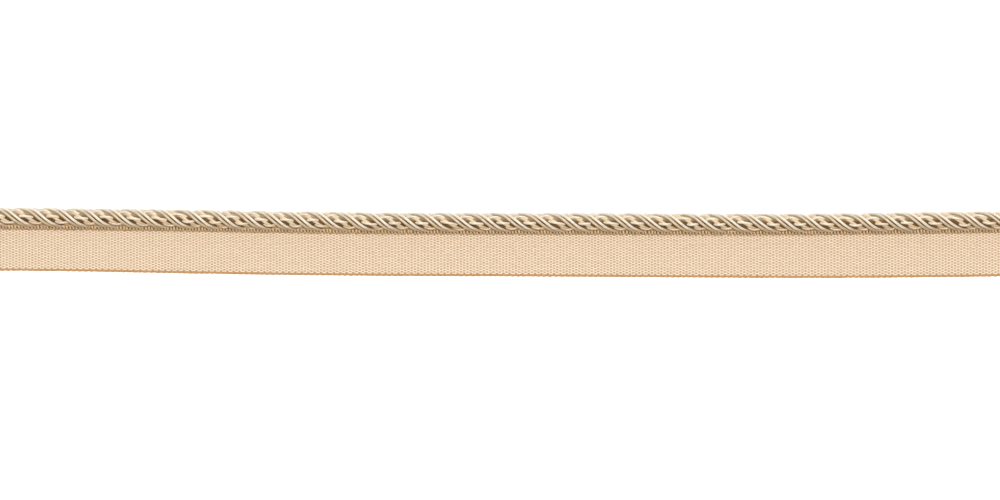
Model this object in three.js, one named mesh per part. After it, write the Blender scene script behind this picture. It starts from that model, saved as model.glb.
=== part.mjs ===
// A cut length of piping trim: a twisted cord with a narrow woven tape along one side.
// It lies flat. X runs along the trim, +Y is the cord's side and Z is up, in millimetres.
import * as THREE from 'three';

// Driving dimensions.
const trimLength = 250;
const cordRadius = 2.34;
const topLean = 0.22; // radians by which the yarns run ahead over the top of the cord
const cordBedding = 0.06; // how far the lowest lobes are pressed flat
const tapeThickness = 1.0;
const seamGap = 0.3;
const edgeRise = 0.45; // how far the tape lifts where it meets the cord
const riseWidth = 1.6; // over what width it lifts
const selvedgeDrop = 0.25; // the outer edge is a little thinner
const selvedgeWidth = 1.0;
const selvedgeRound = 0.15; // how far the outer edge's corners are drawn in

// Steps of the twist: this many rings per turn of the cord.
const ringsPerTurn = 15;
const tapeStations = 100;

// The trim's lay on the table. axis is the cord's centre line and edge the tape's outer edge,
// both as Y, and turns is how far the cord has twisted there. A smooth curve joins the rows.
const lay = [
  { x: -125, axis: 6.14, edge: -6.67, turns: -6.46 },
  { x: -100, axis: 5.89, edge: -6.92, turns: -5.18 },
  { x: -75, axis: 5.59, edge: -7.38, turns: -3.84 },
  { x: -50, axis: 5.2, edge: -7.76, turns: -2.49 },
  { x: -25, axis: 4.91, edge: -7.99, turns: -1.17 },
  { x: 0, axis: 4.83, edge: -8.07, turns: 0.11 },
  { x: 25, axis: 4.79, edge: -8.22, turns: 1.4 },
  { x: 50, axis: 4.68, edge: -8.38, turns: 2.69 },
  { x: 75, axis: 4.71, edge: -8.48, turns: 3.98 },
  { x: 100, axis: 4.99, edge: -8.33, turns: 5.28 },
  { x: 125, axis: 5.35, edge: -8.04, turns: 6.57 },
];

// One third of the cord's section, as the share of the cord's radius at even steps round it:
// a gap, a thick wrapped strand, a second gap, then two thin yarns side by side.
const sectionThird = [0.8, 0.93, 0.965, 0.93, 0.8, 0.985, 0.9, 0.985];
const sectionSteps = sectionThird.length * 3;
const sectionPhase = THREE.MathUtils.degToRad(11);

const cordAxisZ = cordRadius - cordBedding;
const tapeInnerTop = Math.sqrt(
  (cordRadius + seamGap) ** 2 - (cordAxisZ - tapeThickness - edgeRise) ** 2,
);
const tapeInnerFoot = Math.sqrt((cordRadius + seamGap) ** 2 - (cordAxisZ - edgeRise) ** 2);

// A smooth curve through one column of the lay table, carried on straight at its two ends.
function layAt(column, x) {
  const step = lay[1].x - lay[0].x;
  const along = THREE.MathUtils.clamp((x - lay[0].x) / step, 0, lay.length - 1.000001);
  const row = Math.floor(along);
  const t = along - row;
  const pick = (i) => {
    const near = THREE.MathUtils.clamp(i, 0, lay.length - 1);
    return 2 * lay[near][column] - lay[2 * near - i][column];
  };
  const slopeHere = (pick(row + 1) - pick(row - 1)) / 2;
  const slopeNext = (pick(row + 2) - pick(row)) / 2;
  const rise = pick(row + 1) - pick(row);
  const bend = 3 * rise - 2 * slopeHere - slopeNext;
  const twist = slopeHere + slopeNext - 2 * rise;
  return pick(row) + t * (slopeHere + t * (bend + t * twist));
}

// A closed skin over rings of equal point count, with a flat face at each end.
function ringSkin(rings) {
  const count = rings[0].length;
  const positions = [];
  const indices = [];
  for (const ring of rings) {
    for (const point of ring) {
      positions.push(point.x, point.y, point.z);
    }
  }
  for (let r = 0; r + 1 < rings.length; r += 1) {
    for (let i = 0; i < count; i += 1) {
      const next = (i + 1) % count;
      const a = r * count + i;
      const b = r * count + next;
      const c = (r + 1) * count + next;
      const d = (r + 1) * count + i;
      indices.push(a, b, c, a, c, d);
    }
  }
  for (const [r, outward] of [[0, false], [rings.length - 1, true]]) {
    const flat = rings[r].map((point) => new THREE.Vector2(point.y, point.z));
    for (const [a, b, c] of THREE.ShapeUtils.triangulateShape(flat, [])) {
      const corners = [a, b, c].map((i) => r * count + i);
      indices.push(...(outward ? corners : corners.reverse()));
    }
  }
  const geometry = new THREE.BufferGeometry();
  geometry.setAttribute('position', new THREE.Float32BufferAttribute(positions, 3));
  geometry.setIndex(indices);
  geometry.computeVertexNormals();
  return geometry;
}

// The cord: a lobed section that turns right-handed as it goes, pressed flat where it lies.
function cordGeometry() {
  const turnsInAll = lay[lay.length - 1].turns - lay[0].turns;
  const ringCount = Math.round(turnsInAll * ringsPerTurn);
  const rings = [];
  for (let r = 0; r <= ringCount; r += 1) {
    const x = -trimLength / 2 + (trimLength * r) / ringCount;
    const axis = layAt('axis', x);
    const turn = 2 * Math.PI * layAt('turns', x) + sectionPhase;
    const ring = [];
    for (let i = 0; i < sectionSteps; i += 1) {
      const even = turn + (2 * Math.PI * i) / sectionSteps;
      const angle = even - topLean * Math.cos(even);
      const radius = cordRadius * sectionThird[i % sectionThird.length];
      const y = axis + radius * Math.cos(angle);
      const z = Math.max(0, cordAxisZ + radius * Math.sin(angle));
      ring.push(new THREE.Vector3(x, y, z));
    }
    rings.push(ring);
  }
  return ringSkin(rings);
}

// How high the tape's underside is, at a distance out from its inner edge.
function tapeLift(fromInner) {
  const t = THREE.MathUtils.clamp(1 - fromInner / riseWidth, 0, 1);
  return edgeRise * t * t;
}

// The tape: one sheet, flat underneath, lifting towards the cord and thinner at the selvedge.
function tapeGeometry() {
  const bend = riseWidth / 2;
  const rings = [];
  for (let s = 0; s <= tapeStations; s += 1) {
    const x = -trimLength / 2 + (trimLength * s) / tapeStations;
    const inner = layAt('axis', x) - tapeInnerTop;
    const foot = layAt('axis', x) - tapeInnerFoot;
    const edge = layAt('edge', x);
    const section = [
      [edge + selvedgeRound, 0],
      [inner - riseWidth, 0],
      [inner - bend, tapeLift(bend)],
      [foot, edgeRise],
      [inner, edgeRise + tapeThickness],
      [inner - bend, tapeThickness + tapeLift(bend)],
      [inner - riseWidth, tapeThickness],
      [edge + selvedgeWidth, tapeThickness],
      [edge + selvedgeRound, tapeThickness - selvedgeDrop],
      [edge, tapeThickness / 2],
    ];
    rings.push(section.map(([y, z]) => new THREE.Vector3(x, y, z)));
  }
  return ringSkin(rings);
}

const cordYarn = new THREE.MeshStandardMaterial({ color: 0xe2c8a2, roughness: 0.6, metalness: 0 });
const tapeYarn = new THREE.MeshStandardMaterial({ color: 0xe6cfb1, roughness: 0.75, metalness: 0 });

const twistedCord = new THREE.Mesh(cordGeometry(), cordYarn);
twistedCord.name = 'twisted_cord';
const wovenTape = new THREE.Mesh(tapeGeometry(), tapeYarn);
wovenTape.name = 'woven_tape';

const trim = new THREE.Group();
trim.name = 'piping_trim_length';
trim.add(twistedCord, wovenTape);

export default trim;
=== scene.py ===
import math

import bpy
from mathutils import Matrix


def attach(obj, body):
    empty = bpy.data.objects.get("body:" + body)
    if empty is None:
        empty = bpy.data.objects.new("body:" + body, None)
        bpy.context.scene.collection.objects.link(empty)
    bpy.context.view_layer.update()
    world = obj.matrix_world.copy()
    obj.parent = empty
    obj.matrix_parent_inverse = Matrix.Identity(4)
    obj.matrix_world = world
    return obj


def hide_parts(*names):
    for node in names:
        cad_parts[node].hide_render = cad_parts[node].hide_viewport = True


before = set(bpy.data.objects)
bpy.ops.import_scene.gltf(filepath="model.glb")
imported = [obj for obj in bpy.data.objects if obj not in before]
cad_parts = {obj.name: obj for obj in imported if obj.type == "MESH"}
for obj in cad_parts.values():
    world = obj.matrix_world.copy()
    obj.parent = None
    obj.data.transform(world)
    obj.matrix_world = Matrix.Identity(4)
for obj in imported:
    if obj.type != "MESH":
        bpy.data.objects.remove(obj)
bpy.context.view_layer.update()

mm = 0.001

# How the trim lies, in millimetres: the cord's centre line, the tape's outer edge, both as Y,
# how often the cord has turned by there, and how many ribs of the tape lie before it.
lay = [
    {"x": -125, "axis": 6.14, "edge": -6.67, "turns": -6.46, "ribs": -163.3},
    {"x": -100, "axis": 5.89, "edge": -6.92, "turns": -5.18, "ribs": -130.8},
    {"x": -75, "axis": 5.59, "edge": -7.38, "turns": -3.84, "ribs": -97.7},
    {"x": -50, "axis": 5.2, "edge": -7.76, "turns": -2.49, "ribs": -64.1},
    {"x": -25, "axis": 4.91, "edge": -7.99, "turns": -1.17, "ribs": -31.8},
    {"x": 0, "axis": 4.83, "edge": -8.07, "turns": 0.11, "ribs": 0},
    {"x": 25, "axis": 4.79, "edge": -8.22, "turns": 1.4, "ribs": 32.8},
    {"x": 50, "axis": 4.68, "edge": -8.38, "turns": 2.69, "ribs": 65.7},
    {"x": 75, "axis": 4.71, "edge": -8.48, "turns": 3.98, "ribs": 98},
    {"x": 100, "axis": 4.99, "edge": -8.33, "turns": 5.28, "ribs": 130.5},
    {"x": 125, "axis": 5.35, "edge": -8.04, "turns": 6.57, "ribs": 163.9},
]


def layAt(column, x):
    # a smooth curve through one column of the table, carried on straight at its two ends
    step = lay[1]["x"] - lay[0]["x"]
    justUnder = 0.000001  # keeps the last point in the last row
    along = min(max((x - lay[0]["x"]) / step, 0), len(lay) - 1 - justUnder)
    row = int(along)
    t = along - row

    def pick(i):
        near = min(max(i, 0), len(lay) - 1)
        return 2 * lay[near][column] - lay[2 * near - i][column]

    slopeHere = (pick(row + 1) - pick(row - 1)) / 2
    slopeNext = (pick(row + 2) - pick(row)) / 2
    rise = pick(row + 1) - pick(row)
    bend = 3 * rise - 2 * slopeHere - slopeNext
    twist = slopeHere + slopeNext - 2 * rise
    return pick(row) + t * (slopeHere + t * (bend + t * twist))


# camera, straight above, as in the photograph
camera = {
    "frameWidth": 240 * mm,  # what the picture shows of the trim, at focusHeight
    "focusHeight": 2.4 * mm,
    "lens": 180,
    "sensor": 36,
    "aimY": -1.84 * mm,
}
cameraData = bpy.data.cameras.new("camera")
cameraData.lens = camera["lens"]
cameraData.sensor_width = camera["sensor"]
cameraObject = bpy.data.objects.new("camera", cameraData)
bpy.context.scene.collection.objects.link(cameraObject)
cameraHeight = camera["frameWidth"] * camera["lens"] / camera["sensor"] + camera["focusHeight"]
cameraObject.location = (0, camera["aimY"], cameraHeight)
bpy.context.scene.camera = cameraObject


# small helpers for node trees
def addNode(tree, kind, inputs=None, **settings):
    node = tree.nodes.new(kind)
    for name, value in settings.items():
        setattr(node, name, value)
    for key, value in (inputs or {}).items():
        plug(tree, node.inputs[key], value)
    return node


def plug(tree, socket, value):
    if isinstance(value, bpy.types.NodeSocket):
        tree.links.new(value, socket)
    elif value is not None:
        socket.default_value = value


def maths(tree, operation, *values):
    node = addNode(tree, "ShaderNodeMath", dict(enumerate(values)), operation=operation)
    return node.outputs[0]


def vectorMaths(tree, operation, *values):
    node = addNode(tree, "ShaderNodeVectorMath", dict(enumerate(values)), operation=operation)
    return node.outputs[0]


def scaled(tree, vector, amount):
    node = addNode(tree, "ShaderNodeVectorMath", {0: vector, "Scale": amount}, operation="SCALE")
    return node.outputs[0]


def joined(tree, x, y, z):
    return addNode(tree, "ShaderNodeCombineXYZ", {0: x, 1: y, 2: z}).outputs[0]


def newTree(name, sockets):
    tree = bpy.data.node_groups.new(name, "GeometryNodeTree")
    face = tree.interface
    face.new_socket("Geometry", in_out="INPUT", socket_type="NodeSocketGeometry")
    for title, kind in sockets:
        face.new_socket(title, in_out="INPUT", socket_type="NodeSocket" + kind)
    face.new_socket("Geometry", in_out="OUTPUT", socket_type="NodeSocketGeometry")
    return tree, tree.nodes.new("NodeGroupInput"), tree.nodes.new("NodeGroupOutput")


def named(tree, name):
    node = addNode(tree, "GeometryNodeInputNamedAttribute", {"Name": name}, data_type="FLOAT")
    return node.outputs[0]


def keep(tree, geometry, name, value, kind="FLOAT"):
    node = addNode(
        tree, "GeometryNodeStoreNamedAttribute",
        {"Geometry": geometry, "Name": name, "Value": value}, data_type=kind, domain="POINT",
    )
    return node.outputs[0]


noiseStep = 7.31  # how far apart two yarns read the noise, so that they drift differently


def wander(tree, along, number, seed, size):
    # a slow random drift along a yarn, from -size to size
    place = maths(tree, "ADD", maths(tree, "MULTIPLY", number, noiseStep), along)
    noise = addNode(
        tree, "ShaderNodeTexNoise",
        {"W": maths(tree, "ADD", place, seed), "Scale": 1.0, "Detail": 1.0}, noise_dimensions="1D",
    )
    swing = maths(tree, "MULTIPLY_ADD", noise.outputs[0], 2.0, -1.0)
    return maths(tree, "MULTIPLY", swing, size)


def finishTree(tree, output, geometry, material):
    smooth = addNode(tree, "GeometryNodeSetShadeSmooth", {"Geometry": geometry})
    real = addNode(tree, "GeometryNodeRealizeInstances", {"Geometry": smooth.outputs[0]})
    painted = addNode(
        tree, "GeometryNodeSetMaterial", {"Geometry": real.outputs[0], "Material": material}
    )
    tree.links.new(painted.outputs[0], output.inputs[0])


def makeByNodes(name, sourceMesh, tree, values):
    maker = bpy.data.objects.new(name + "_maker", sourceMesh)
    bpy.context.scene.collection.objects.link(maker)
    modifier = maker.modifiers.new("make", "NODES")
    modifier.node_group = tree
    for item in tree.interface.items_tree:
        if item.in_out == "INPUT" and item.name in values:
            modifier[item.identifier] = values[item.name]
    graph = bpy.context.evaluated_depsgraph_get()
    mesh = bpy.data.meshes.new_from_object(maker.evaluated_get(graph))
    mesh.name = name
    maker.modifiers.remove(modifier)
    bpy.data.objects.remove(maker)
    piece = bpy.data.objects.new(name, mesh)
    bpy.context.scene.collection.objects.link(piece)
    print(name, "has", sum(len(p.vertices) - 2 for p in mesh.polygons), "triangles")
    return piece


# the line that everything follows
trim = {"length": 250, "lineSteps": 500}
cord = {
    "radius": 2.34,
    "bedding": 0.06,  # how far the lowest yarns are pressed flat
    "lead": 19.4,  # about the length of one turn, which sets how a yarn leans
    "phase": 103 / 360,  # where the first pair of smooth yarns stands, in turns
    "topLean": 0.22,  # radians by which the yarns run ahead over the top
}
axisHeight = cord["radius"] - cord["bedding"]


def trimLine(column, side, height):
    mesh = bpy.data.meshes.new(column + "Line")
    steps = trim["lineSteps"]
    xs = [-trim["length"] / 2 + trim["length"] * i / steps for i in range(steps + 1)]
    points = [(x * mm, (layAt(column, x) + side) * mm, height * mm) for x in xs]
    mesh.from_pydata(points, [(i, i + 1) for i in range(steps)], [])
    turns = mesh.attributes.new("turns", "FLOAT", "POINT")
    turns.data.foreach_set("value", [layAt("turns", x) for x in xs])
    return mesh


line = trimLine("axis", 0, axisHeight)


# yarn materials
grain = {
    "slowRun": 0.35,  # slow patches to a millimetre along a yarn
    "fibreShare": 0.6,  # of the patches' depth, the slow ones make the rest
    "slowShare": 0.4,
    "patchFrom": 0.35,  # the noise between which a patch goes from none to full
    "patchTo": 0.65,
    "outerLightingFull": 0.85,  # how far out on the flanks the two painted light-and-shade tints are full
    "seamLightingFull": -0.75,
    "roughSwing": 0.25,  # how much the fibres change the roughness
    "roughBelow": 0.12,
    "sheenRoughness": 0.4,
    "bumpDistance": 0.1 * mm,
}


def yarnMaterial(name, look):
    material = bpy.data.materials.new(name)
    material.use_nodes = True
    tree = material.node_tree
    shader = tree.nodes["Principled BSDF"]
    around = addNode(tree, "ShaderNodeAttribute", attribute_name="roundYarn")
    split = addNode(tree, "ShaderNodeSeparateXYZ", {0: around.outputs["Vector"]})
    along = addNode(tree, "ShaderNodeAttribute", attribute_name="alongYarn").outputs["Fac"]
    tint = addNode(tree, "ShaderNodeAttribute", attribute_name="yarnTint").outputs["Fac"]
    angle = maths(tree, "ARCTAN2", split.outputs[1], split.outputs[0])
    lean = maths(tree, "MULTIPLY", along, 2 * math.pi / (look["plyPitch"] * mm))
    plyAngle = maths(tree, "MULTIPLY_ADD", angle, look["plies"], lean)
    ply = maths(tree, "MULTIPLY_ADD", maths(tree, "SINE", plyAngle), 0.5, 0.5)
    turned = maths(tree, "ADD", angle, maths(tree, "DIVIDE", lean, look["plies"]))
    fibrePlace = joined(
        tree,
        maths(tree, "MULTIPLY", maths(tree, "COSINE", turned), look["fibres"]),
        maths(tree, "MULTIPLY", maths(tree, "SINE", turned), look["fibres"]),
        maths(tree, "MULTIPLY", along, look["fibreRun"] / mm),
    )
    fibre = addNode(
        tree, "ShaderNodeTexNoise", {"Vector": fibrePlace, "Scale": 1.0, "Detail": 3.0}
    ).outputs[0]
    slow = addNode(
        tree, "ShaderNodeTexNoise",
        {"Vector": joined(tree, maths(tree, "MULTIPLY", along, grain["slowRun"] / mm), tint, 0.0),
         "Scale": 1.0},
    ).outputs[0]
    # a yarn's second tone by yarnTint; on the warp threads it is painted shade where a thread dives
    # under the weft
    body = addNode(
        tree, "ShaderNodeMix", {0: tint, 6: look["light"], 7: look["goldAndDipShade"]}, data_type="RGBA"
    ).outputs[2]
    mixed = maths(tree, "ADD", maths(tree, "MULTIPLY", fibre, grain["fibreShare"]),
                  maths(tree, "MULTIPLY", slow, grain["slowShare"]))
    spread = addNode(
        tree, "ShaderNodeMapRange",
        {0: mixed, 1: grain["patchFrom"], 2: grain["patchTo"], 3: 0.0, 4: look["patchy"]},
    ).outputs[0]
    colour = addNode(
        tree, "ShaderNodeMix", {0: spread, 6: body, 7: look["shade"]}, data_type="RGBA"
    ).outputs[2]
    # painted light and shade: the cord's upper flank and its lower flank, toward the seam, take their
    # own tints for how the light falls there
    if "outerFlankLighting" in look:
        flank = addNode(tree, "ShaderNodeAttribute", attribute_name="flank").outputs["Fac"]
        sides = (
            ("outerFlankLighting", look["outerLightingFrom"], grain["outerLightingFull"]),
            ("seamFlankLighting", look["turnsDull"], grain["seamLightingFull"]),
        )
        for side, begins, full in sides:
            share = addNode(
                tree, "ShaderNodeMapRange",
                {0: flank, 1: begins, 2: full, 3: 0.0, 4: look["flankLightingShare"]},
            ).outputs[0]
            colour = addNode(
                tree, "ShaderNodeMix", {0: share, 6: colour, 7: look[side]}, data_type="RGBA"
            ).outputs[2]
    # painted shade: browner near the seam, where the cord shades the tape
    if "seam" in look:
        seam = addNode(tree, "ShaderNodeAttribute", attribute_name="nearSeam").outputs["Fac"]
        colour = addNode(
            tree, "ShaderNodeMix", {0: seam, 6: colour, 7: look["seam"]}, data_type="RGBA"
        ).outputs[2]
    relief = maths(tree, "ADD", maths(tree, "MULTIPLY", ply, look["plyDepth"]),
                   maths(tree, "MULTIPLY", fibre, look["fibreDepth"]))
    bump = addNode(
        tree, "ShaderNodeBump",
        {"Height": relief, "Strength": look["bump"], "Distance": grain["bumpDistance"]},
    )
    tree.links.new(colour, shader.inputs["Base Color"])
    tree.links.new(bump.outputs[0], shader.inputs["Normal"])
    rough = maths(tree, "MULTIPLY_ADD", fibre, grain["roughSwing"],
                  look["roughness"] - grain["roughBelow"])
    tree.links.new(rough, shader.inputs["Roughness"])
    shader.inputs["Specular IOR Level"].default_value = look["shine"]
    shader.inputs["IOR"].default_value = look["gloss"]
    shader.inputs["Sheen Weight"].default_value = look["sheen"]
    shader.inputs["Sheen Roughness"].default_value = grain["sheenRoughness"]
    return material


def srgb(red, green, blue):
    # a colour as it is seen, 0 to 255, made linear
    values = [c / 255 for c in (red, green, blue)]
    return [c / 12.92 if c < 0.04045 else ((c + 0.055) / 1.055) ** 2.4 for c in values] + [1.0]


# the yarns' flank tints are painted light and shade for the cord's upper and lower flanks
smoothYarn = yarnMaterial("smoothYarn", {
    "light": srgb(242, 232, 214), "goldAndDipShade": srgb(210, 185, 146), "shade": srgb(178, 146, 102),
    "outerFlankLighting": srgb(221, 215, 203), "seamFlankLighting": srgb(184, 148, 98), "flankLightingShare": 0.75,
    "outerLightingFrom": 0.4, "turnsDull": -0.66,
    "patchy": 0.4, "plies": 2, "plyPitch": 1.6, "plyDepth": 0.4, "fibres": 7.0, "fibreRun": 1.2,
    "fibreDepth": 0.6, "bump": 0.5, "roughness": 0.46, "shine": 1.0, "sheen": 0.0,
    "gloss": 2.0,
})
wrapYarn = yarnMaterial("wrapYarn", {
    "light": srgb(250, 240, 222), "goldAndDipShade": srgb(246, 232, 208), "shade": srgb(188, 158, 114),
    "outerFlankLighting": srgb(188, 178, 158), "seamFlankLighting": srgb(184, 148, 98), "flankLightingShare": 0.8,
    "outerLightingFrom": 0.35, "turnsDull": -0.25,
    "patchy": 0.4, "plies": 2, "plyPitch": 1.4, "plyDepth": 0.4, "fibres": 7.0, "fibreRun": 1.2,
    "fibreDepth": 0.6, "bump": 0.5, "roughness": 0.46, "shine": 1.0, "sheen": 0.0,
    "gloss": 2.0,
})
coreYarn = yarnMaterial("coreYarn", {
    "light": srgb(238, 220, 190), "goldAndDipShade": srgb(238, 220, 190), "shade": srgb(184, 150, 104),
    "outerFlankLighting": srgb(198, 184, 160), "seamFlankLighting": srgb(180, 142, 92), "flankLightingShare": 0.8,
    "outerLightingFrom": 0.4, "turnsDull": -0.25,
    "patchy": 0.5, "plies": 2, "plyPitch": 1.4, "plyDepth": 0.3, "fibres": 5.0, "fibreRun": 1.2,
    "fibreDepth": 0.6, "bump": 0.5, "roughness": 0.55, "shine": 0.5, "sheen": 0.1,
    "gloss": 1.6,
})
# painted shade: the filler is dark brown, with darker patches, for the shadow in the holes between
# the strands; its upper-flank tint is paler, as painted light
fillerYarn = yarnMaterial("fillerYarn", {
    "light": srgb(132, 101, 60), "goldAndDipShade": srgb(132, 101, 60), "shade": srgb(62, 42, 20),
    "outerFlankLighting": srgb(226, 211, 184), "seamFlankLighting": srgb(176, 138, 88), "flankLightingShare": 0.9,
    "outerLightingFrom": 0.05, "turnsDull": -0.4,
    "patchy": 0.9, "plies": 6, "plyPitch": 3.0, "plyDepth": 0.3, "fibres": 9.0, "fibreRun": 1.2,
    "fibreDepth": 0.6, "bump": 0.5, "roughness": 0.8, "shine": 0.2, "sheen": 0.0,
    "gloss": 1.5,
})


# the cord's yarns: groups of yarns wound round the line, members wound within a group
unevenness = {
    "walk": 0.16,  # noise cells to a millimetre along the cord
    "strandDrift": 0.06 * mm,  # how far a whole strand drifts in and out
    "strandSeed": 31.7,
    "slipWalk": 0.8,  # the wraps' slip, in cells of the walk
    "slipSeed": 11.9,
    "thickWalk": 2.0,
    "thickSwing": 0.12,  # how much a yarn's thickness changes
    "thickSeed": 5.3,
    "restsAt": 0.95,  # how low over the floor a yarn's middle comes, in its radii
}
patternStep = 0.37  # metres between the places where two yarns read their pattern


def yarnTree():
    tree, given, output = newTree("windYarns", [
        ("Groups", "Int"), ("Members", "Int"), ("Group Phase", "Float"), ("Member Phase", "Float"),
        ("Strand Radius", "Float"), ("Member Radius", "Float"), ("Member Depth", "Float"),
        ("Member Turns", "Float"), ("Yarn Radius", "Float"), ("Thinner", "Float"),
        ("Steps", "Int"), ("Sides", "Int"), ("Drift", "Float"), ("Crimp", "Float"),
        ("Seed", "Float"), ("Material", "Material"),
    ])
    g = given.outputs
    curve = addNode(tree, "GeometryNodeMeshToCurve", {0: g["Geometry"]})
    evenLine = addNode(
        tree, "GeometryNodeResampleCurve", {"Curve": curve.outputs[0], "Count": g["Steps"]}
    )
    copies = addNode(
        tree, "GeometryNodeDuplicateElements",
        {"Geometry": evenLine.outputs[0],
         "Amount": maths(tree, "MULTIPLY", g["Groups"], g["Members"])},
        domain="SPLINE",
    )
    number = copies.outputs["Duplicate Index"]
    group = maths(tree, "FLOOR", maths(tree, "DIVIDE", maths(tree, "ADD", number, 0.5), g["Members"]))
    member = maths(tree, "SUBTRACT", number, maths(tree, "MULTIPLY", group, g["Members"]))
    place = addNode(tree, "GeometryNodeInputPosition").outputs[0]
    x = addNode(tree, "ShaderNodeSeparateXYZ", {0: place}).outputs[0]
    walk = maths(tree, "MULTIPLY", x, unevenness["walk"] / mm)
    turns = maths(tree, "ADD", maths(tree, "ADD", named(tree, "turns"), g["Group Phase"]),
                  maths(tree, "DIVIDE", group, g["Groups"]))
    evenAngle = maths(tree, "ADD", maths(tree, "MULTIPLY", turns, 2 * math.pi),
                      wander(tree, walk, group, g["Seed"], g["Drift"]))
    leaning = maths(tree, "COSINE", evenAngle)
    angle = maths(tree, "MULTIPLY_ADD", leaning, -cord["topLean"], evenAngle)
    sine = maths(tree, "SINE", angle)
    cosine = maths(tree, "COSINE", angle)
    outward = joined(tree, 0.0, cosine, sine)
    strand = maths(tree, "ADD", g["Strand Radius"],
                   wander(tree, walk, group, maths(tree, "ADD", g["Seed"], unevenness["strandSeed"]),
                          unevenness["strandDrift"]))
    climb = maths(tree, "MULTIPLY", g["Strand Radius"], 2 * math.pi / (cord["lead"] * mm))
    norm = maths(tree, "SQRT", maths(tree, "MULTIPLY_ADD", climb, climb, 1.0))
    sideways = scaled(tree, joined(
        tree, maths(tree, "MULTIPLY", climb, -1.0), maths(tree, "MULTIPLY", sine, -1.0), cosine,
    ), maths(tree, "DIVIDE", 1.0, norm))
    along = addNode(tree, "GeometryNodeSplineParameter").outputs["Length"]
    inner = maths(tree, "ADD", maths(tree, "ADD", g["Member Phase"],
                                     maths(tree, "DIVIDE", member, g["Members"])),
                  maths(tree, "MULTIPLY", along, g["Member Turns"]))
    slip = wander(tree, maths(tree, "MULTIPLY", walk, unevenness["slipWalk"]), group,
                  maths(tree, "ADD", g["Seed"], unevenness["slipSeed"]), g["Crimp"])
    innerAngle = maths(tree, "ADD", maths(tree, "MULTIPLY", inner, 2 * math.pi), slip)
    offset = vectorMaths(
        tree, "ADD",
        scaled(tree, outward, maths(tree, "ADD", strand, maths(
            tree, "MULTIPLY", g["Member Depth"], maths(tree, "COSINE", innerAngle)))),
        scaled(tree, sideways, maths(
            tree, "MULTIPLY", g["Member Radius"], maths(tree, "SINE", innerAngle))),
    )
    target = addNode(tree, "ShaderNodeSeparateXYZ", {0: vectorMaths(tree, "ADD", place, offset)})
    lowest = maths(tree, "MULTIPLY", g["Yarn Radius"], unevenness["restsAt"])
    resting = joined(tree, target.outputs[0], target.outputs[1],
                     maths(tree, "MAXIMUM", target.outputs[2], lowest))
    axisY = addNode(tree, "ShaderNodeSeparateXYZ", {0: place}).outputs[1]
    wound = addNode(tree, "GeometryNodeSetPosition", {
        "Geometry": keep(tree, copies.outputs[0], "axisY", axisY), "Position": resting,
    }).outputs[0]
    thick = maths(tree, "ADD", 1.0, wander(
        tree, maths(tree, "MULTIPLY", walk, unevenness["thickWalk"]), number,
        maths(tree, "ADD", g["Seed"], unevenness["thickSeed"]), unevenness["thickSwing"]))
    first = maths(tree, "SUBTRACT", 1.0, member)
    thick = maths(tree, "SUBTRACT", thick, maths(tree, "MULTIPLY", first, g["Thinner"]))
    wound = addNode(
        tree, "GeometryNodeSetCurveRadius", {"Curve": wound, "Radius": thick}
    ).outputs[0]
    wound = keep(tree, wound, "alongYarn", maths(tree, "MULTIPLY_ADD", number, patternStep, along))
    wound = keep(tree, wound, "yarnTint", first)
    circle = addNode(
        tree, "GeometryNodeCurvePrimitiveCircle",
        {"Resolution": g["Sides"], "Radius": g["Yarn Radius"]}, mode="RADIUS",
    ).outputs[0]
    rim = scaled(tree, addNode(tree, "GeometryNodeInputPosition").outputs[0],
                 maths(tree, "DIVIDE", 1.0, g["Yarn Radius"]))
    circle = keep(tree, circle, "roundYarn", rim, "FLOAT_VECTOR")
    skin = addNode(
        tree, "GeometryNodeCurveToMesh",
        {"Curve": wound, "Profile Curve": circle, "Fill Caps": True},
    ).outputs[0]
    fromAxis = maths(tree, "SUBTRACT", axisY, named(tree, "axisY"))
    skin = keep(tree, skin, "flank", maths(tree, "DIVIDE", fromAxis, cord["radius"] * mm))
    finishTree(tree, output, skin, g["Material"])
    return tree


windYarns = yarnTree()
smoothPairs = {
    "Groups": 3, "Members": 2, "Group Phase": cord["phase"], "Member Phase": 0.25,
    "Strand Radius": 1.99 * mm, "Member Radius": 0.45 * mm, "Member Depth": 0.0,
    "Member Turns": 0.0, "Yarn Radius": 0.335 * mm, "Thinner": 0.14, "Steps": 560, "Sides": 10,
    "Drift": 0.05, "Crimp": 0.12, "Seed": 3.0, "Material": smoothYarn,
}
strandWraps = {
    "Groups": 3, "Members": 2, "Group Phase": cord["phase"] - 1 / 6, "Member Phase": 0.1,
    "Strand Radius": 1.4 * mm, "Member Radius": 0.6 * mm, "Member Depth": 0.6 * mm,
    "Member Turns": -1 / (4.32 * mm), "Yarn Radius": 0.31 * mm, "Thinner": 0.0, "Steps": 1300,
    "Sides": 8, "Drift": 0.05, "Crimp": 1.5, "Seed": 47.0, "Material": wrapYarn,
}
strandCores = {
    "Groups": 3, "Members": 1, "Group Phase": cord["phase"] - 1 / 6, "Member Phase": 0.0,
    "Strand Radius": 1.62 * mm, "Member Radius": 0.0, "Member Depth": 0.0,
    "Member Turns": 0.0, "Yarn Radius": 0.36 * mm, "Thinner": 0.0, "Steps": 460, "Sides": 8,
    "Drift": 0.05, "Crimp": 0.2, "Seed": 47.0, "Material": coreYarn,
}
filler = {
    "Groups": 1, "Members": 1, "Group Phase": 0.0, "Member Phase": 0.0,
    "Strand Radius": 0.0, "Member Radius": 0.0, "Member Depth": 0.0, "Member Turns": 0.0,
    "Yarn Radius": 1.62 * mm, "Thinner": 0.0, "Steps": 260, "Sides": 18, "Drift": 0.0,
    "Crimp": 0.0, "Seed": 9.0, "Material": fillerYarn,
}
pairPiece = makeByNodes("twisted_cord", line, windYarns, smoothPairs)
wrapPiece = makeByNodes("cord_wraps", line, windYarns, strandWraps)
corePiece = makeByNodes("cord_wrapped_yarns", line, windYarns, strandCores)
fillerPiece = makeByNodes("cord_filler", line, windYarns, filler)
cordPieces = [pairPiece, wrapPiece, corePiece, fillerPiece]
print("the cord is wound")


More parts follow.
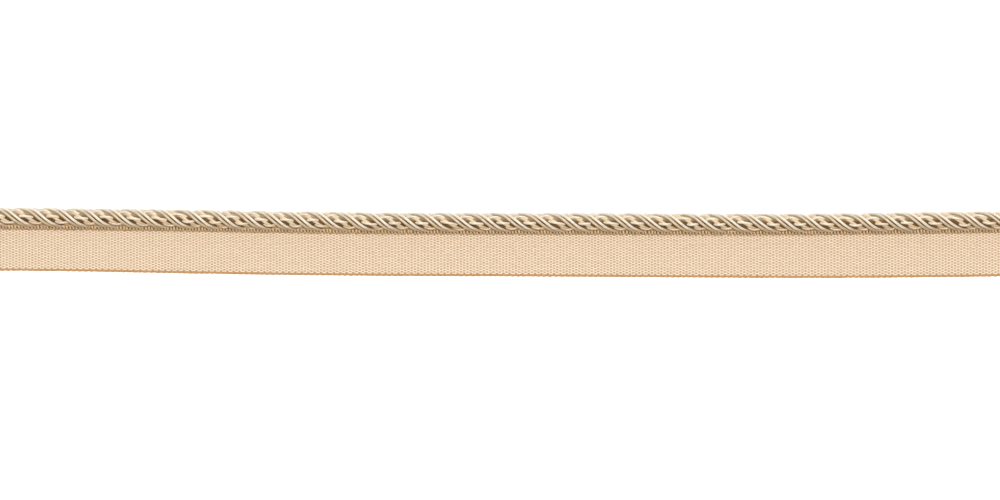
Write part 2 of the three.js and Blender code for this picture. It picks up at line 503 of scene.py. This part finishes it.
# the tape: a ribbed ground of weft, the warp threads over and under it
tape = {
    "reach": 1.85,  # from the cord's centre line to the tape's inner edge
    "firstThread": 2.66,  # and to its first warp thread
    "threads": 31,
    "middle": 0.33,  # height of the cloth's mid plane
    "rise": 0.45,  # how far the inner edge lifts to meet the cord
    "riseWidth": 1.6,  # and over what width
    "edgeBand": 0.42,  # width of the selvedge outside the last thread
    "groundEdge": 0.12,  # how far inside the outer edge the ground ends
    "ribFoot": 0.05,  # half the ground's thickness between two ribs
    "ribTop": 0.11,  # and on a rib
    "ribSharpness": 4,
    "ringsPerRib": 4,
    "threadLift": 0.045,
    "threadWalk": 0.9,  # noise cells to a millimetre along a warp thread
    "seamShade": 1.3,  # how far from the inner edge the weft is painted browner, as shade from the cord
}


def xAtRib(rib):
    # where a rib stands, found by halving
    low = lay[0]["x"]
    high = lay[-1]["x"]
    halvings = 40
    for _ in range(halvings):
        middle = (low + high) / 2
        if layAt("ribs", middle) < rib:
            low = middle
        else:
            high = middle
    return (low + high) / 2


def ribStations(perRib):
    first = math.ceil(layAt("ribs", lay[0]["x"]) * perRib)
    last = math.floor(layAt("ribs", lay[-1]["x"]) * perRib)
    return [(i / perRib, xAtRib(i / perRib)) for i in range(first, last + 1)]


def ribLine(name, perRib):
    # the cord's centre line with so many points to a rib
    stations = ribStations(perRib)
    mesh = bpy.data.meshes.new(name)
    edges = [(i, i + 1) for i in range(len(stations) - 1)]
    mesh.from_pydata([(x * mm, layAt("axis", x) * mm, 0) for _, x in stations], edges, [])
    ribs = mesh.attributes.new("ribs", "FLOAT", "POINT")
    ribs.data.foreach_set("value", [rib for rib, _ in stations])
    outer = mesh.attributes.new("outer", "FLOAT", "POINT")
    outer.data.foreach_set("value", [layAt("edge", x) * mm for _, x in stations])
    return mesh


def liftAt(fromInner):
    return tape["rise"] * max(0, 1 - fromInner / tape["riseWidth"]) ** 2


def groundMesh():
    # rings across the tape, closer together near the seam, thick on a rib and thin between two
    shares = [0, 0.03, 0.06, 0.1, 0.15, 0.25, 0.45, 0.7, 0.9, 1]
    points = []
    faces = []
    nearSeam = []
    stations = ribStations(tape["ringsPerRib"])
    for rib, x in stations:
        inner = layAt("axis", x) - tape["reach"]
        outer = layAt("edge", x) + tape["groundEdge"]
        onRib = math.cos(math.pi * rib) ** tape["ribSharpness"]
        half = tape["ribFoot"] + (tape["ribTop"] - tape["ribFoot"]) * onRib
        width = inner - outer
        ring = [(inner - width * s, tape["middle"] + liftAt(width * s)) for s in shares]
        points += [(x * mm, y * mm, (z + half) * mm) for y, z in ring]
        points += [(x * mm, y * mm, (z - half) * mm) for y, z in reversed(ring)]
        # painted shade: the share of the weft's seam tint, most at the inner edge
        near = [max(0, 1 - width * s / tape["seamShade"]) for s in shares]
        nearSeam += near + near[::-1]
    count = 2 * len(shares)
    for r in range(len(stations) - 1):
        for i in range(count):
            nextOne = (i + 1) % count
            faces.append((r * count + i, (r + 1) * count + i,
                          (r + 1) * count + nextOne, r * count + nextOne))
    faces.append(tuple(range(count)))
    faces.append(tuple(reversed(range((len(stations) - 1) * count, len(stations) * count))))
    mesh = bpy.data.meshes.new("woven_tape")
    mesh.from_pydata(points, [], faces)
    mesh.attributes.new("nearSeam", "FLOAT", "POINT").data.foreach_set("value", nearSeam)
    mesh.shade_smooth()
    return mesh


def threadTree():
    tree, given, output = newTree("layThreads", [
        ("Threads", "Int"), ("First", "Int"), ("Count", "Int"), ("Wave", "Float"),
        ("Width", "Float"), ("Height", "Float"), ("Sides", "Int"), ("Drift", "Float"),
        ("Seed", "Float"), ("Material", "Material"),
    ])
    g = given.outputs
    curve = addNode(tree, "GeometryNodeMeshToCurve", {0: g["Geometry"]})
    copies = addNode(
        tree, "GeometryNodeDuplicateElements",
        {"Geometry": curve.outputs[0], "Amount": g["Count"]}, domain="SPLINE",
    )
    number = maths(tree, "ADD", copies.outputs["Duplicate Index"], g["First"])
    place = addNode(
        tree, "ShaderNodeSeparateXYZ", {0: addNode(tree, "GeometryNodeInputPosition").outputs[0]}
    )
    x = place.outputs[0]
    axis = place.outputs[1]
    share = maths(tree, "DIVIDE", maths(tree, "ADD", number, 0.5), g["Threads"])
    inner = maths(tree, "SUBTRACT", axis, tape["firstThread"] * mm)
    last = maths(tree, "ADD", named(tree, "outer"), tape["edgeBand"] * mm)
    width = maths(tree, "SUBTRACT", inner, last)
    out = maths(tree, "MULTIPLY", width, share)
    walk = maths(tree, "MULTIPLY", x, tape["threadWalk"] / mm)
    y = maths(tree, "ADD", maths(tree, "SUBTRACT", inner, out),
              wander(tree, walk, number, g["Seed"], g["Drift"]))
    fromEdge = maths(tree, "ADD", out, (tape["firstThread"] - tape["reach"]) * mm)
    near = maths(tree, "MAXIMUM", 0.0, maths(
        tree, "SUBTRACT", 1.0, maths(tree, "DIVIDE", fromEdge, tape["riseWidth"] * mm)))
    lift = maths(tree, "MULTIPLY", maths(tree, "MULTIPLY", near, near), tape["rise"] * mm)
    beat = maths(tree, "COSINE", maths(tree, "MULTIPLY", math.pi, maths(
        tree, "ADD", named(tree, "ribs"), number)))
    wave = maths(tree, "MULTIPLY", beat, g["Wave"])
    rest = (tape["middle"] + tape["threadLift"]) * mm
    z = maths(tree, "ADD", maths(tree, "ADD", rest, lift), wave)
    # painted shade: how much of the seam tint a thread takes, most by the cord
    shaded = keep(tree, copies.outputs[0], "nearSeam", maths(tree, "MULTIPLY", near, near))
    laid = addNode(
        tree, "GeometryNodeSetPosition", {"Geometry": shaded, "Position": joined(tree, x, y, z)}
    ).outputs[0]
    laid = addNode(
        tree, "GeometryNodeSetCurveNormal", {"Curve": laid}, mode="Z_UP"
    ).outputs[0]
    along = addNode(tree, "GeometryNodeSplineParameter").outputs["Length"]
    laid = keep(tree, laid, "alongYarn", maths(tree, "MULTIPLY_ADD", number, patternStep, along))
    # painted shade: the tint share is highest where the thread dives under the weft
    laid = keep(tree, laid, "yarnTint", maths(tree, "MULTIPLY_ADD", beat, -0.5, 0.5))
    circle = addNode(
        tree, "GeometryNodeCurvePrimitiveCircle", {"Resolution": g["Sides"], "Radius": 1.0},
        mode="RADIUS",
    ).outputs[0]
    rim = addNode(tree, "GeometryNodeInputPosition").outputs[0]
    circle = keep(tree, circle, "roundYarn", rim, "FLOAT_VECTOR")
    flat = addNode(
        tree, "GeometryNodeTransform",
        {"Geometry": circle, "Scale": joined(tree, g["Width"], g["Height"], 1.0)},
    ).outputs[0]
    skin = addNode(
        tree, "GeometryNodeCurveToMesh",
        {"Curve": laid, "Profile Curve": flat, "Fill Caps": True},
    ).outputs[0]
    finishTree(tree, output, skin, g["Material"])
    return tree


# painted shade: the second tone darkens a thread where it dives under the weft, and the seam tint
# browns it near the cord, where the cord shades the tape
warpYarn = yarnMaterial("warpYarn", {
    "light": srgb(248, 234, 215), "goldAndDipShade": srgb(236, 216, 191), "shade": srgb(240, 220, 194),
    "patchy": 0.35, "plies": 2, "plyPitch": 0.6, "plyDepth": 0.2, "fibres": 3.0, "fibreRun": 2.5,
    "fibreDepth": 0.4, "bump": 0.3, "roughness": 0.55, "shine": 0.5, "sheen": 0.1,
    "gloss": 1.5, "seam": srgb(228, 192, 148),
})


def weftMaterial(look):
    # the weft in each rib: fibres along the rib, darker than the warps, partly its own tone and
    # partly painted shade for the pits between the warp floats, and painted browner near the inner
    # edge as shade from the cord
    material = bpy.data.materials.new("groundYarn")
    material.use_nodes = True
    tree = material.node_tree
    shader = tree.nodes["Principled BSDF"]
    place = addNode(tree, "ShaderNodeTexCoord").outputs["Object"]
    stretched = vectorMaths(tree, "MULTIPLY", place, tuple(v / mm for v in look["fibres"]))
    fibre = addNode(
        tree, "ShaderNodeTexNoise", {"Vector": stretched, "Scale": 1.0, "Detail": 3.0}
    ).outputs[0]
    body = addNode(
        tree, "ShaderNodeMix", {0: fibre, 6: look["light"], 7: look["dark"]}, data_type="RGBA"
    ).outputs[2]
    seam = addNode(tree, "ShaderNodeAttribute", attribute_name="nearSeam").outputs["Fac"]
    colour = addNode(
        tree, "ShaderNodeMix", {0: seam, 6: body, 7: look["seam"]}, data_type="RGBA"
    ).outputs[2]
    bump = addNode(
        tree, "ShaderNodeBump",
        {"Height": fibre, "Strength": look["bump"], "Distance": grain["bumpDistance"]},
    )
    tree.links.new(colour, shader.inputs["Base Color"])
    tree.links.new(bump.outputs[0], shader.inputs["Normal"])
    shader.inputs["Roughness"].default_value = look["roughness"]
    return material


# partly painted shade: the weft is darker than the warps for the pits between the warp floats; the
# seam tint is painted shade from the cord
groundYarn = weftMaterial({
    "light": srgb(208, 177, 142), "dark": srgb(174, 143, 107), "seam": srgb(212, 170, 118),
    "fibres": (9.0, 1.5, 9.0), "roughness": 0.8, "bump": 0.4,
})

groundPiece = bpy.data.objects.new("woven_tape", groundMesh())
bpy.context.scene.collection.objects.link(groundPiece)
groundPiece.data.materials.append(groundYarn)

layThreads = threadTree()
innerThreads = 15  # the first threads from the cord, the others are a piece of their own
outerThreads = tape["threads"] - innerThreads
warps = {
    "Threads": tape["threads"], "Wave": 0.14 * mm, "Width": 0.17 * mm, "Height": 0.12 * mm,
    "Sides": 6, "Drift": 0.03 * mm, "Seed": 5.0, "Material": warpYarn,
}
ribThirds = ribLine("ribThirds", 3)
innerWarps = makeByNodes(
    "tape_warps_inner", ribThirds, layThreads, {**warps, "First": 0, "Count": innerThreads}
)
outerWarps = makeByNodes(
    "tape_warps_outer", ribThirds, layThreads,
    {**warps, "First": innerThreads, "Count": outerThreads},
)


# what is sewn and looped along the tape: one small thread arc at each rib
arcSizes = {"smallest": 0.98, "largest": 1.02}


def arcTree():
    tree, given, output = newTree("setArcs", [
        ("Start", "Vector"), ("Handle", "Vector"), ("End", "Vector"), ("Thread Radius", "Float"),
        ("Steps", "Int"), ("Sides", "Int"), ("Swing", "Float"), ("Seed", "Int"),
        ("Material", "Material"),
    ])
    g = given.outputs
    arc = addNode(tree, "GeometryNodeCurveQuadraticBezier", {
        "Resolution": g["Steps"], "Start": g["Start"], "Middle": g["Handle"], "End": g["End"],
    }).outputs[0]
    along = addNode(tree, "GeometryNodeSplineParameter").outputs["Length"]
    arc = keep(tree, arc, "alongYarn", along)
    arc = keep(tree, arc, "yarnTint", 0.0)
    circle = addNode(
        tree, "GeometryNodeCurvePrimitiveCircle",
        {"Resolution": g["Sides"], "Radius": g["Thread Radius"]}, mode="RADIUS",
    ).outputs[0]
    rim = scaled(tree, addNode(tree, "GeometryNodeInputPosition").outputs[0],
                 maths(tree, "DIVIDE", 1.0, g["Thread Radius"]))
    circle = keep(tree, circle, "roundYarn", rim, "FLOAT_VECTOR")
    skin = addNode(
        tree, "GeometryNodeCurveToMesh",
        {"Curve": arc, "Profile Curve": circle, "Fill Caps": True},
    ).outputs[0]
    swing = addNode(
        tree, "FunctionNodeRandomValue",
        {"Min": joined(tree, 0.0, 0.0, maths(tree, "MULTIPLY", g["Swing"], -1.0)),
         "Max": joined(tree, 0.0, 0.0, g["Swing"]), "Seed": g["Seed"]},
        data_type="FLOAT_VECTOR",
    ).outputs[0]
    size = addNode(
        tree, "FunctionNodeRandomValue",
        {2: arcSizes["smallest"], 3: arcSizes["largest"], "Seed": maths(tree, "ADD", g["Seed"], 3)},
        data_type="FLOAT",
    ).outputs[1]
    points = addNode(tree, "GeometryNodeMeshToPoints", {0: g["Geometry"]}).outputs[0]
    placed = addNode(
        tree, "GeometryNodeInstanceOnPoints",
        {"Points": points, "Instance": skin, "Rotation": swing, "Scale": size},
    ).outputs[0]
    finishTree(tree, output, placed, g["Material"])
    return tree


def ribPoints(name, column, every):
    # a point at each rib, or each second one, on the cord's line or on the tape's edge
    mesh = bpy.data.meshes.new(name)
    stations = [x for rib, x in ribStations(1) if rib % every == 0]
    mesh.from_pydata([(x * mm, layAt(column, x) * mm, 0) for x in stations], [], [])
    return mesh


setArcs = arcTree()
stitchThread = yarnMaterial("stitchThread", {
    "light": srgb(242, 212, 166), "goldAndDipShade": srgb(242, 212, 166), "shade": srgb(214, 178, 128),
    "patchy": 0.5, "plies": 2, "plyPitch": 0.7, "plyDepth": 0.3, "fibres": 3.0, "fibreRun": 2.5,
    "fibreDepth": 0.5, "bump": 0.4, "roughness": 0.6, "shine": 0.3, "sheen": 0.1,
    "gloss": 1.5,
})
# a tan thread, painted darker and browner for the shade on the selvedge's down-curving edge; the weft
# turns share it
edgeThread = yarnMaterial("edgeThread", {
    "light": srgb(204, 160, 110), "goldAndDipShade": srgb(204, 160, 110), "shade": srgb(176, 130, 80),
    "patchy": 0.5, "plies": 2, "plyPitch": 0.7, "plyDepth": 0.3, "fibres": 3.0, "fibreRun": 2.5,
    "fibreDepth": 0.5, "bump": 0.4, "roughness": 0.65, "shine": 0.3, "sheen": 0.1,
    "gloss": 1.5,
})
stitches = {
    "Start": (0.06 * mm, -2.66 * mm, 0.8 * mm), "Handle": (0, -2.76 * mm, 2.35 * mm),
    "End": (-0.06 * mm, -1.82 * mm, 2.3 * mm), "Thread Radius": 0.245 * mm,
    "Steps": 8, "Sides": 6, "Swing": 0.03, "Seed": 4, "Material": stitchThread,
}
joiningStitches = makeByNodes(
    "joining_stitches", ribPoints("seamPoints", "axis", every=1), setArcs, stitches
)

edgeLine = trimLine("edge", 0.2, 0.34)
twoPlyEdge = {
    "Groups": 1, "Members": 2, "Group Phase": 0.0, "Member Phase": 0.0, "Strand Radius": 0.0,
    "Member Radius": 0.15 * mm, "Member Depth": 0.1 * mm, "Thinner": 0.0,
    "Member Turns": 1 / (3.1 * mm), "Yarn Radius": 0.2 * mm,
    "Steps": 640, "Sides": 6, "Drift": 0.0, "Crimp": 0.8, "Seed": 21.0, "Material": edgeThread,
}
edgeCord = makeByNodes("tape_edge_thread", edgeLine, windYarns, twoPlyEdge)

turnsAtEdge = {
    "Start": (-0.36 * mm, 0.36 * mm, 0.33 * mm), "Handle": (0, -0.2 * mm, 0.33 * mm),
    "End": (0.36 * mm, 0.36 * mm, 0.33 * mm), "Thread Radius": 0.17 * mm,
    "Steps": 9, "Sides": 6, "Swing": 0.04, "Seed": 8, "Material": edgeThread,
}
weftTurns = makeByNodes(
    "tape_weft_turns", ribPoints("edgePoints", "edge", every=2), setArcs, turnsAtEdge
)
tapePieces = [groundPiece, innerWarps, outerWarps, joiningStitches, weftTurns, edgeCord]
print("the tape is woven")


# floor and light
floor = {
    "halfSide": 3.0, "drop": 0.2 * mm, "glow": 0.55,
    "pale": (0.94, 0.94, 0.94, 1), "shaded": (0.92, 0.92, 0.92, 1), "tooth": 900.0,
    "bump": 0.1, "bumpDistance": 0.05 * mm, "roughness": 0.9, "shine": 0.1,
}


def cardMaterial(name, look):
    # pale card with a faint tooth, glowing a little as painted light, so that it stays white round
    # the trim where the trim's shadow would fall
    material = bpy.data.materials.new(name)
    material.use_nodes = True
    tree = material.node_tree
    shader = tree.nodes["Principled BSDF"]
    place = addNode(tree, "ShaderNodeTexCoord").outputs["Object"]
    tooth = addNode(
        tree, "ShaderNodeTexNoise", {"Vector": place, "Scale": look["tooth"], "Detail": 3.0}
    ).outputs[0]
    colour = addNode(
        tree, "ShaderNodeMix", {0: tooth, 6: look["pale"], 7: look["shaded"]}, data_type="RGBA"
    ).outputs[2]
    bump = addNode(
        tree, "ShaderNodeBump",
        {"Height": tooth, "Strength": look["bump"], "Distance": look["bumpDistance"]},
    )
    tree.links.new(colour, shader.inputs["Base Color"])
    tree.links.new(bump.outputs[0], shader.inputs["Normal"])
    shader.inputs["Roughness"].default_value = look["roughness"]
    shader.inputs["Specular IOR Level"].default_value = look["shine"]
    shader.inputs["Emission Color"].default_value = (1, 1, 1, 1)
    shader.inputs["Emission Strength"].default_value = look["glow"]
    return material


floorMesh = bpy.data.meshes.new("floor")
half = floor["halfSide"]
low = -floor["drop"]
floorMesh.from_pydata(
    [(-half, -half, low), (half, -half, low), (half, half, low), (-half, half, low)],
    [], [(0, 1, 2, 3)],
)
floorMesh.materials.append(cardMaterial("paleCard", floor))
floorObject = bpy.data.objects.new("floor", floorMesh)
bpy.context.scene.collection.objects.link(floorObject)

room = {"colour": (1.0, 0.84, 0.62, 1), "strength": 0.26}
world = bpy.data.worlds.new("softRoom")
bpy.context.scene.world = world
world.use_nodes = True
background = world.node_tree.nodes["Background"]
background.inputs["Color"].default_value = room["colour"]
background.inputs["Strength"].default_value = room["strength"]

lamps = [
    {"name": "keyAbove", "place": (0.15, 0.44, 2.18), "size": 0.6, "power": 43},
    {"name": "fillBehind", "place": (0.4, 1.6, 0.9), "size": 1.4, "power": 5.5},
]
for lamp in lamps:
    data = bpy.data.lights.new(lamp["name"], "AREA")
    data.size = lamp["size"]
    data.energy = lamp["power"]
    lampObject = bpy.data.objects.new(lamp["name"], data)
    bpy.context.scene.collection.objects.link(lampObject)
    lampObject.location = lamp["place"]
    # a lamp shines along its own -Z, so its +Z points away from the trim
    lampObject.rotation_euler = lampObject.location.to_track_quat("Z", "Y").to_euler()

bpy.context.scene.view_settings.view_transform = "Standard"
print("the floor and the lamps are set")

# what each piece belongs to; the model's cord and tape are hidden, as the pieces take their place
for piece in cordPieces:
    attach(piece, "root")
for piece in tapePieces:
    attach(piece, "root")
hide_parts("twisted_cord")
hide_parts("woven_tape")
tapeWidth = layAt("axis", 0) - tape["reach"] - layAt("edge", 0)
